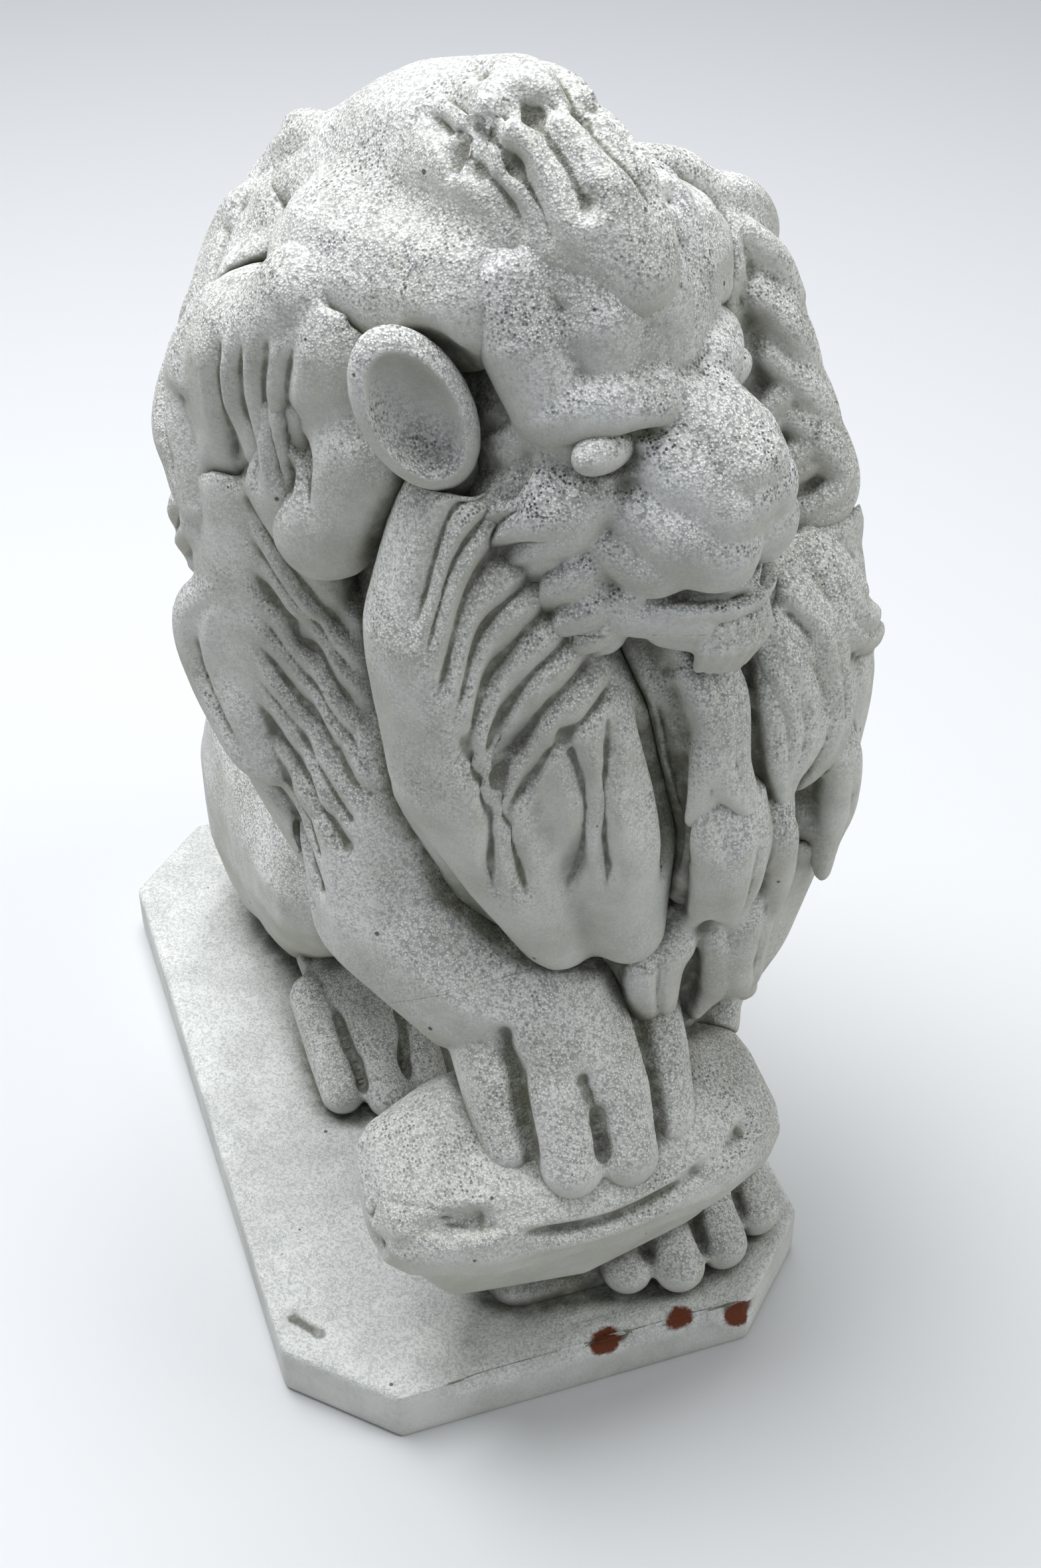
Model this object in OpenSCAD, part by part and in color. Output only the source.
/* Seated lion on a plinth, one forepaw on a shield: a cast-stone garden statue.
   The lion faces -Y and turns its head to its own left (+X). The origin is in the
   middle of the plinth's underside, and +Z is up. */

/* [Plinth] */
// Width of the plinth
plinth_w = 300; // [270:1:400]
// Length of the plinth, front to back
plinth_l = 490; // [450:1:650]
// Thickness of the plinth
plinth_t = 34; // [26:1:60]
// How far each corner is clipped, along both edges
corner_clip = 50; // [30:1:80]

/* [Figure] */
// Height of the lion above the plinth
figure_h = 662; // [550:1:800]
// How far the trunk stands to the lion's left of the plinth's middle
figure_shift = 10; // [0:1:20]
// How far the head turns to the lion's left, in degrees
head_turn = 32; // [20:1:45]

/* [Body] */
// Width over both haunches
haunch_w = 232; // [200:1:270]
// Length of a haunch, front to back
haunch_l = 178; // [150:1:215]
// Height of a haunch
haunch_h = 212; // [180:1:250]
// Thickness of the trunk behind the shoulders
trunk_d = 168; // [140:1:200]
// Thickness of the tail
tail_d = 26; // [20:1:34]

/* [Legs] */
// Thickness of a foreleg at the wrist
leg_d = 58; // [50:1:70]
// Thickness of a hind foot over the instep
hind_foot_d = 54; // [46:1:64]
// Thickness of one toe
toe_d = 29; // [24:1:34]
// Spacing of the toes
toe_pitch = 23; // [19:1:27]

/* [Head] */
// Width of the skull over the cheekbones
head_w = 122; // [104:1:144]
// Width of the muzzle over the lip pads
muzzle_w = 72; // [60:1:84]
// Width of the nose
nose_w = 42; // [34:1:50]
// Thickness of the lower jaw
jaw_d = 36; // [30:1:42]
// Length of an ear
ear_l = 84; // [70:1:98]
// Depth of the hollow in an ear
ear_hollow = 12; // [8:1:16]
// Diameter of an eye
eye_d = 22; // [18:1:26]

/* [Mane] */
// Thickness of a mass of mane locks
lock_d = 92; // [80:1:106]
// Thickness of a lock at its tip
tip_d = 40; // [32:1:48]

/* [Shield] */
// Width of the shield over its rolled ends
shield_w = 224; // [190:1:260]
// Height of the shield above the plinth
shield_h = 168; // [140:1:190]
// Diameter of the roll along the shield's top
roll_d = 58; // [48:1:68]
// Thickness of the shield's plate
plate_t = 30; // [24:1:38]
// How far the raised field stands out of the plate
field_t = 8; // [5:1:12]
// Width of the foot that the shield stands on
shield_foot_w = 76; // [60:1:90]

/* [Reinforcement] */
// Diameter of the two bars that run up through the figure
armature_d = 10; // [6:1:14]
// Diameter of the bars cast into the plinth
bar_d = 6; // [4:1:8]
// Stone left around the plinth's bars
bar_cover = 40; // [30:1:60]
// Gap that the wire tie leaves where two plinth bars cross
bar_tie = 1; // [0.5:0.5:2]
// Thickness of the film of paste round a figure bar
bar_gap = 0.2; // [0.1:0.1:0.5]

/* [Hidden] */
// height that the stations below are drawn at
drawn_h = 662;
k = figure_h / drawn_h;
round_fn = 12;
bar_fn = 24;
stone = [0.78, 0.79, 0.77];
steel = [0.42, 0.34, 0.30];

// a station of the figure: millimetres from the middle of the plinth's top face
function at(p) = [figure_shift + p.x * k, p.y * k, plinth_t + p.z * k];
// a point in the world as a station of the figure
function station(w) = [(w.x - figure_shift) / k, w.y / k, (w.z - plinth_t) / k];
// a station on the lion's right (-1) or left (1)
function side(s, p) = [s * p.x, p.y, p.z];
module figure() {
    translate([figure_shift, 0, plinth_t]) scale(k) children();
}

// the head's middle, and a station in the head's own axes: across, forward, up
head_at = [26, -128, 492];
module in_head() {
    translate(head_at) rotate(head_turn) children();
}
function forward(p) = [p.x, -p.y, p.z];

module ball(p, d) {
    translate(p) sphere(d = d, $fn = round_fn);
}
module egg(p, size) {
    translate(p) scale(size) sphere(d = 1, $fn = round_fn + 4);
}
// a rounded limb through a list of [place, thickness]
module limb(s) {
    for (i = [0 : len(s) - 2]) hull() {
        ball(s[i][0], s[i][1]);
        ball(s[i + 1][0], s[i + 1][1]);
    }
}
module above_plinth() {
    tall = 2 * figure_h;
    intersection() {
        translate([-tall, -tall, plinth_t]) cube([2 * tall, 2 * tall, tall]);
        union() children();
    }
}

/* ---- bars ---- */
bar_x = plinth_w / 2 - bar_cover;
bar_y = plinth_l / 2 - bar_cover;
bar_z = plinth_t / 2 - (bar_d + bar_tie) / 2;
bar_foot = plinth_t * 0.35;
// a bar's foot in the plinth, and a station that it runs up to
spine_foot = [figure_shift, at([0, 140, 0]).y, bar_foot];
spine_head = at([6, -90, 400]);
leg_foot = [at([74, 0, 0]).x, at([0, -168, 0]).y, bar_foot];
leg_head = at([62, -84, 310]);
module long_bars(d) {
    for (s = [-1, 1]) translate([s * bar_x, 0, bar_z])
        rotate([90, 0, 0]) cylinder(d = d, h = 2 * (bar_y - corner_clip), center = true, $fn = bar_fn);
}
// each cross bar runs just outside the foot of a figure bar, which is wired to it
module cross_bars(d) {
    off = armature_d / 2 + bar_d + bar_tie;
    for (y = [spine_foot.y + off, leg_foot.y - off])
        translate([0, y, bar_z + bar_d + bar_tie])
            rotate([0, 90, 0]) cylinder(d = d, h = 2 * bar_x, center = true, $fn = bar_fn);
}
module bar_between(a, b, d, extra) {
    v = b - a;
    l = norm(v);
    translate(a) rotate([0, acos(v.z / l), atan2(v.y, v.x)]) rotate(40) translate([0, 0, -extra])
        cylinder(d = d, h = l + 2 * extra, $fn = bar_fn);
}
module figure_bars(d, extra) {
    bar_between(spine_foot, spine_head, d, extra);
    bar_between(leg_foot, leg_head, d, extra);
}
module bar_holes() figure_bars(armature_d + 2 * bar_gap, bar_gap);

/* ---- body forms, each a little larger than what shows, so that neighbours are cut to it ---- */
module trunk_form() figure() {
    limb([[[0, 128, trunk_d / 2 - 6], trunk_d], [[0, 66, 204], trunk_d + 6], [[0, -24, 292], trunk_d + 10],
          [[8, -78, 372], trunk_d], [[20, -104, 450], trunk_d * 0.82]]);
}
module haunch_form(s) figure() {
    out = haunch_w / 2 - haunch_w / 4.2;
    hull() {
        egg(side(s, [out, 138, 100]), [haunch_w / 2.1, haunch_l, haunch_h]);
        ball(side(s, [62, 34, 122]), hind_foot_d * 1.7);
    }
    limb([[side(s, [62, 34, 122]), hind_foot_d * 1.7], [side(s, [58, 96, 44]), hind_foot_d * 1.45]]);
}
module toes(place, turn, drop, count) {
    translate(place) rotate([0, 0, turn]) rotate([drop, 0, 0])
        for (i = [0 : count - 1]) {
            across = (i - (count - 1) / 2) * toe_pitch;
            back = 3 * pow(i - (count - 1) / 2, 2);
            hull() {
                ball([across * 0.9, 34, 3], toe_d);
                ball([across, back, 0], toe_d);
            }
        }
}
module hind_foot_form(s) figure() {
    limb([[side(s, [54, 92, 34]), hind_foot_d * 1.1], [side(s, [54, 20, 22]), hind_foot_d],
          [side(s, [55, -14, 16]), hind_foot_d * 0.85]]);
    toes(side(s, [56, -34, 11]), 0, 0, 3);
}
module tail_form() figure() {
    limb([[[60, 208, 30], tail_d * 1.2], [[104, 168, 14], tail_d], [[122, 96, 12], tail_d],
          [[122, 30, 13], tail_d], [[112, -12, 18], tail_d * 1.35],
                [[104, -38, 16], tail_d * 0.8]]);
}
module left_foreleg_form() figure() {
    limb([[[62, -84, 300], leg_d * 1.75], [[70, -104, 196], leg_d * 1.35],
          [[70, -142, 84], leg_d * 1.05], [[72, -160, 46], leg_d]]);
}
module left_forepaw_form() figure() {
    limb([[[72, -158, 30], leg_d * 1.05], [[72, -178, 24], leg_d * 0.98]]);
    toes([70, -204, 12], 12, 0, 4);
}
module right_foreleg_form() figure() {
    limb([[[-56, -84, 310], leg_d * 1.8], [[-62, -118, 232], leg_d * 1.62],
          [paw_rest + [-30, 64, 53], leg_d * 1.5], [paw_rest + [-4, 48, 47], leg_d * 1.4]]);
}
module right_forepaw_form() figure() {
    limb([[paw_rest + [-1, 42, 41], leg_d * 1.42], [paw_rest + [4, 16, 13], leg_d * 1.2]]);
    toes(paw_rest + [5, -6, -8], 2, 40, 4);
}

/* ---- shield ---- */
shield_at = at([-4, -196, 0]);
shield_lean = 20;
roll_r = roll_d / 2;
shield_x = shield_w / 2;
// where the raised forepaw rests on the roll, as a station of the figure
rest_y = 30;
rest_z = shield_h - roll_r / 2;
paw_rest = station(shield_at + [0, rest_y * cos(shield_lean) - rest_z * sin(shield_lean),
                                rest_y * sin(shield_lean) + rest_z * cos(shield_lean)]);
module in_shield() {
    translate(shield_at) rotate([shield_lean, 0, 3]) children();
}
module shield_roll_form() {
    in_shield() for (s = [-1, 1]) {
        hull() {
            ball([0, 6, shield_h - roll_r * 1.6], roll_d * 1.1);
            ball([0, 50, shield_h - roll_r * 1.4], roll_d);
            ball([s * shield_x * 0.5, 8, shield_h - roll_r * 1.65], roll_d * 1.08);
            ball([s * shield_x * 0.5, 50, shield_h - roll_r * 1.4], roll_d);
        }
        hull() {
            ball([s * shield_x * 0.5, 8, shield_h - roll_r * 1.65], roll_d * 1.08);
            ball([s * shield_x * 0.5, 50, shield_h - roll_r * 1.4], roll_d);
            ball([s * (shield_x - roll_r * 0.96), 16, shield_h - roll_r * 1.85], roll_d * 0.96);
            ball([s * (shield_x - roll_r), 46, shield_h - roll_r * 1.7], roll_d * 0.9);
        }
    }
}
module shield_plate_form() {
    in_shield() hull() {
        for (s = [-1, 1]) {
            ball([s * (shield_x - plate_t * 0.62), 22, shield_h * 0.6], plate_t);
            ball([s * shield_x * 0.66, 20, shield_h * 0.34], plate_t);
            ball([s * shield_foot_w * 0.4, 14, plate_t * 0.5], plate_t);
        }
        ball([0, 4, shield_h * 0.6], plate_t);
        ball([0, 4, shield_h * 0.38], plate_t);
    }
}
module shield_field_form() {
    in_shield() hull() {
        for (s = [-1, 1]) {
            ball([s * shield_x * 0.74, 14 - field_t, shield_h * 0.62], plate_t);
            ball([s * shield_x * 0.56, 14 - field_t, shield_h * 0.34], plate_t);
        }
        ball([0, 4 - field_t, shield_h * 0.6], plate_t);
        ball([0, 4 - field_t, shield_h * 0.36], plate_t);
        ball([0, 12 - field_t, plate_t * 0.9], plate_t * 0.8);
    }
}
module shield_foot_form() {
    hull() for (s = [-1, 1]) {
        ball([shield_at.x + s * shield_foot_w * 0.36, shield_at.y + 16, plinth_t + 4], plate_t * 1.1);
        ball([shield_at.x + s * shield_foot_w * 0.3, shield_at.y + 2, plinth_t + 4], plate_t * 1.1);
    }
}

/* ---- head ---- */
module skull_form() figure() {
    in_head() {
        egg(forward([0, 6, 14]), [head_w, head_w * 1.04, head_w]);
        for (s = [-1, 1]) hull() {
            ball(forward([s * 21, 50, 40]), head_w * 0.27);
            ball(forward([s * 44, 28, 40]), head_w * 0.26);
        }
        for (s = [-1, 1]) hull() {
            ball(forward([s * 42, 38, 8]), head_w * 0.3);
            ball(forward([s * 44, 14, -14]), head_w * 0.4);
        }
    }
}
module muzzle_form() figure() {
    in_head() {
        limb([[forward([0, 50, 34]), nose_w * 0.92], [forward([0, 84, 12]), nose_w * 0.96]]);
        for (s = [-1, 1]) {
            pad = muzzle_w / 2 - 21;
            hull() {
                ball(forward([s * (pad + 6), 50, -18]), 46);
                ball(forward([s * pad, 80, -20]), 42);
            }
        }
    }
}
module nose_form() figure() {
    in_head() {
        hull() {
            for (s = [-1, 1]) ball(forward([s * (nose_w / 2 - 10), 94, 5]), 21);
            ball(forward([0, 97, -6]), 16);
        }
    }
}
module lower_jaw_form() figure() {
    in_head() {
        for (s = [-1, 1]) limb([[forward([s * 30, 30, -46]), jaw_d * 1.1],
              [forward([s * 13, 82, -54]), jaw_d * 0.8]]);
        limb([[forward([-13, 82, -54]), jaw_d * 0.8], [forward([13, 82, -54]), jaw_d * 0.8]]);
    }
}
module chin_tuft_form() figure() {
    in_head() hull() {
        for (s = [-1, 1]) ball(forward([s * 12, 80, -64]), 26);
        ball(forward([0, 74, -84]), 20);
    }
}
ear_places = [[-78, -14, 38], [78, -14, 38]];
ear_tilt = [[-4, -24, -34], [-4, 24, 34]];
module ear_form(i) figure() {
    in_head() translate(forward(ear_places[i])) rotate(ear_tilt[i])
        difference() {
            hull() {
                scale([ear_l * 0.62, ear_l * 0.34, ear_l]) sphere(d = 1, $fn = round_fn);
                translate([0, 6, -ear_l * 0.3])
                    scale([ear_l * 0.5, ear_l * 0.4, ear_l * 0.6]) sphere(d = 1, $fn = round_fn);
            }
            translate([0, -ear_l * 0.2, 0])
                scale([ear_l * 0.4, ear_hollow * 2, ear_l * 0.74]) sphere(d = 1, $fn = round_fn);
        }
}
module eyes_form() figure() {
    in_head() for (s = [-1, 1]) hull() {
        ball(forward([s * 33, 51, 23]), eye_d);
        ball(forward([s * 38, 45, 22]), eye_d * 0.86);
    }
}

/* ---- mane ---- */
module crown_mane_form() figure() {
    limb([[[34, -162, 580], lock_d * 0.56], [[22, -142, 596], lock_d * 0.86],
          [[6, -112, 608], lock_d * 1.04],
          [[-16, -62, 590], lock_d * 1.04], [[-36, -16, 556], lock_d]]);
    limb([[[62, -118, 560], lock_d * 0.85], [[58, -60, 546], lock_d * 0.96]]);
    limb([[[-26, -130, 568], lock_d * 0.8], [[-56, -76, 560], lock_d * 0.92]]);
}
module nape_mane_form() figure() {
    limb([[[-66, -18, 528], lock_d * 1.08], [[-66, 14, 440], lock_d * 1.08],
          [[-52, 28, 360], lock_d * 0.9]]);
    limb([[[52, -10, 500], lock_d * 1.08], [[58, 14, 430], lock_d * 1.06],
          [[48, 28, 360], lock_d * 0.9]]);
    limb([[[0, 10, 505], lock_d * 1.14], [[0, 40, 425], lock_d * 1.1]]);
}
module back_mane_form() figure() {
    limb([[[0, 60, 372], lock_d], [[0, 84, 306], lock_d * 0.8], [[2, 98, 256], tip_d]]);
    for (s = [-1, 1])
        limb([[[s * 48, 44, 350], lock_d * 0.8], [[s * 58, 56, 286], lock_d * 0.66],
              [[s * 60, 66, 236], tip_d * 0.8]]);
}
module right_temple_mane_form() figure() {
    limb([[[-66, -100, 534], lock_d * 0.84], [[-94, -62, 514], lock_d * 0.9],
          [[-98, -36, 462], lock_d * 0.88]]);
    limb([[[-66, -118, 496], lock_d * 0.6], [[-84, -104, 448], lock_d * 0.6]]);
}
module right_side_mane_form() figure() {
    limb([[[-98, -52, 452], lock_d * 0.86], [[-98, -56, 380], lock_d * 0.92],
          [[-86, -70, 300], lock_d * 0.9],
          [[-70, -88, 236], lock_d * 0.72], [[-58, -100, 196], tip_d]]);
    limb([[[-94, -14, 436], lock_d * 0.8], [[-94, -4, 360], lock_d * 0.8],
          [[-86, -2, 290], tip_d * 1.3]]);
}
module right_cheek_mane_form() figure() {
    limb([[[-36, -144, 330], lock_d * 0.8], [[-20, -142, 280], lock_d * 0.76],
          [[-10, -150, 226], lock_d * 0.6]]);
    limb([[[-36, -150, 478], lock_d * 0.62], [[-52, -158, 420], lock_d * 0.74],
          [[-42, -166, 350], lock_d * 0.8],
          [[-18, -178, 290], lock_d * 0.66], [[-2, -184, 246], tip_d]]);
    limb([[[-16, -160, 440], lock_d * 0.68], [[6, -176, 370], lock_d * 0.8],
          [[24, -190, 304], lock_d * 0.66],
          [[30, -194, 250], tip_d]]);
}
module left_temple_mane_form() figure() {
    limb([[[96, -92, 540], lock_d * 0.7], [[114, -94, 490], lock_d * 0.8],
          [[133, -112, 430], lock_d * 0.84]]);
    limb([[[84, -46, 500], lock_d], [[96, -50, 430], lock_d * 1.04]]);
}
module left_side_mane_form() figure() {
    limb([[[139, -130, 400], lock_d * 0.86], [[142, -146, 340], lock_d * 0.9],
          [[138, -150, 282], lock_d * 0.8]]);
    limb([[[100, -40, 390], lock_d * 0.9], [[100, -34, 310], lock_d * 0.8],
          [[94, -24, 250], tip_d]]);
    limb([[[128, -84, 370], lock_d * 0.9], [[124, -92, 290], lock_d * 0.8],
          [[112, -96, 232], tip_d]]);
}
module throat_mane_form() figure() {
    limb([[[50, -152, 410], lock_d * 0.9], [[70, -172, 346], lock_d * 0.92],
          [[74, -182, 290], lock_d * 0.86]]);
    limb([[[104, -150, 404], lock_d * 0.8], [[110, -164, 340], lock_d * 0.84]]);
}
module chest_mane_form() figure() {
    limb([[[38, -160, 290], lock_d * 0.9], [[48, -168, 222], lock_d * 0.84],
          [[60, -168, 170], lock_d * 0.58]]);
    limb([[[124, -152, 246], lock_d * 0.84], [[112, -156, 194], lock_d * 0.72],
          [[90, -162, 146], tip_d * 1.2]]);
    limb([[[88, -166, 270], lock_d * 0.86], [[88, -168, 206], lock_d * 0.72]]);
}

/* ---- sub-parts: each form with its neighbours' forms cut away, so that they meet face to face ---- */
module plinth() {
    w = plinth_w / 2;
    l = plinth_l / 2;
    c = corner_clip;
    color(stone) difference() {
        linear_extrude(plinth_t)
            polygon([[-w + c, -l], [w - c, -l], [w, -l + c], [w, l - c], [w - c, l], [-w + c, l],
                  [-w, l - c], [-w, -l + c]]);
        long_bars(bar_d);
        cross_bars(bar_d);
        figure_bars(armature_d, 0);
    }
}
module plinth_bars() {
    color(steel) {
        long_bars(bar_d);
        cross_bars(bar_d);
    }
}
module spine_bar() {
    color(steel) bar_between(spine_foot, spine_head, armature_d, 0);
}
module leg_bar() {
    color(steel) bar_between(leg_foot, leg_head, armature_d, 0);
}
module trunk() {
    color(stone) above_plinth() difference() {
        trunk_form();
        head_forms();
        bar_holes();
    }
}
module haunch(s) {
    color(stone) above_plinth() difference() {
        haunch_form(s);
        trunk_form();
    }
}
module right_haunch() {
    haunch(-1);
}
module left_haunch() {
    haunch(1);
}
module hind_foot(s) {
    color(stone) above_plinth() difference() {
        hind_foot_form(s);
        haunch_form(s);
        trunk_form();
    }
}
module right_hind_foot() {
    hind_foot(-1);
}
module left_hind_foot() {
    hind_foot(1);
}
module tail() {
    color(stone) above_plinth() difference() {
        tail_form();
        haunch_form(1);
        hind_foot_form(1);
    }
}
module left_foreleg() {
    color(stone) above_plinth() difference() {
        left_foreleg_form();
        trunk_form();
        haunch_form(1);
        bar_holes();
    }
}
module left_forepaw() {
    color(stone) above_plinth() difference() {
        left_forepaw_form();
        left_foreleg_form();
        bar_holes();
    }
}
module right_foreleg() {
    color(stone) above_plinth() difference() {
        right_foreleg_form();
        trunk_form();
        haunch_form(-1);
    }
}
module right_forepaw() {
    color(stone) above_plinth() difference() {
        right_forepaw_form();
        right_foreleg_form();
    }
}
module shield_roll() {
    color(stone) above_plinth() difference() {
        shield_roll_form();
        right_foreleg_form();
        right_forepaw_form();
        left_foreleg_form();
    }
}
module shield_plate() {
    color(stone) above_plinth()
        difference() {
            shield_plate_form();
            shield_roll_form();
            right_forepaw_form();
            left_forepaw_form();
            left_foreleg_form();
        }
}
module shield_field() {
    color(stone) above_plinth() difference() {
        shield_field_form();
        shield_plate_form();
        shield_roll_form();
        left_forepaw_form();
        right_forepaw_form();
    }
}
module shield_foot() {
    color(stone) above_plinth()
        difference() {
            shield_foot_form();
            shield_plate_form();
            shield_field_form();
            shield_roll_form();
            left_forepaw_form();
        }
}
module skull() {
    color(stone) difference() {
        skull_form();
        muzzle_form();
        lower_jaw_form();
        eyes_form();
        nose_form();
    }
}
module muzzle() {
    color(stone) difference() {
        muzzle_form();
        lower_jaw_form();
        eyes_form();
        nose_form();
    }
}
module nose() {
    color(stone) nose_form();
}
module lower_jaw() {
    color(stone) difference() {
        lower_jaw_form();
        chin_tuft_form();
    }
}
module chin_tuft() {
    color(stone) chin_tuft_form();
}
module ear(i) {
    color(stone) difference() {
        ear_form(i);
        skull_form();
    }
}
module right_ear() {
    ear(0);
}
module left_ear() {
    ear(1);
}
module eyes() {
    color(stone) eyes_form();
}
// what every mass of the mane is laid against
module head_forms() {
    skull_form();
    muzzle_form();
    lower_jaw_form();
    chin_tuft_form();
    nose_form();
    eyes_form();
    ear_form(0);
    ear_form(1);
}
module body_forms() {
    trunk_form();
    right_foreleg_form();
    left_foreleg_form();
    right_forepaw_form();
    shield_roll_form();
    left_forepaw_form();
}
module crown_mane() {
    color(stone) difference() {
        crown_mane_form();
        head_forms();
        body_forms();
    }
}
module right_temple_mane() {
    color(stone) difference() {
        right_temple_mane_form();
        head_forms();
        body_forms();
        crown_mane_form();
    }
}
module left_temple_mane() {
    color(stone) difference() {
        left_temple_mane_form();
        head_forms();
        body_forms();
        crown_mane_form();
    }
}
module nape_mane() {
    color(stone) difference() {
        nape_mane_form();
        head_forms();
        body_forms();
        crown_mane_form();
        right_temple_mane_form();
        left_temple_mane_form();
    }
}
module back_mane() {
    color(stone) difference() {
        back_mane_form();
        body_forms();
        nape_mane_form();
    }
}
module right_side_mane() {
    color(stone) difference() {
        right_side_mane_form();
        head_forms();
        body_forms();
        right_temple_mane_form();
        nape_mane_form();
        back_mane_form();
        haunch_form(-1);
    }
}
module right_cheek_mane() {
    color(stone) difference() {
        right_cheek_mane_form();
        head_forms();
        body_forms();
        right_temple_mane_form();
        right_side_mane_form();
    }
}
module left_side_mane() {
    color(stone) difference() {
        left_side_mane_form();
        head_forms();
        body_forms();
        left_temple_mane_form();
        nape_mane_form();
        back_mane_form();
        haunch_form(1);
    }
}
module throat_mane() {
    color(stone) difference() {
        throat_mane_form();
        head_forms();
        body_forms();
        right_cheek_mane_form();
        left_side_mane_form();
        left_temple_mane_form();
    }
}
module chest_mane() {
    color(stone) above_plinth() difference() {
        chest_mane_form();
        body_forms();
        right_cheek_mane_form();
        throat_mane_form();
        left_side_mane_form();
        shield_plate_form();
    }
}

/* ---- drawing ---- */
plinth();
plinth_bars();
spine_bar();
leg_bar();
trunk();
right_haunch();
left_haunch();
right_hind_foot();
left_hind_foot();
tail();
left_foreleg();
left_forepaw();
right_foreleg();
right_forepaw();
shield_plate();
shield_roll();
shield_field();
shield_foot();
skull();
muzzle();
nose();
lower_jaw();
chin_tuft();
right_ear();
left_ear();
eyes();
crown_mane();
nape_mane();
back_mane();
right_temple_mane();
right_side_mane();
right_cheek_mane();
throat_mane();
chest_mane();
left_temple_mane();
left_side_mane();
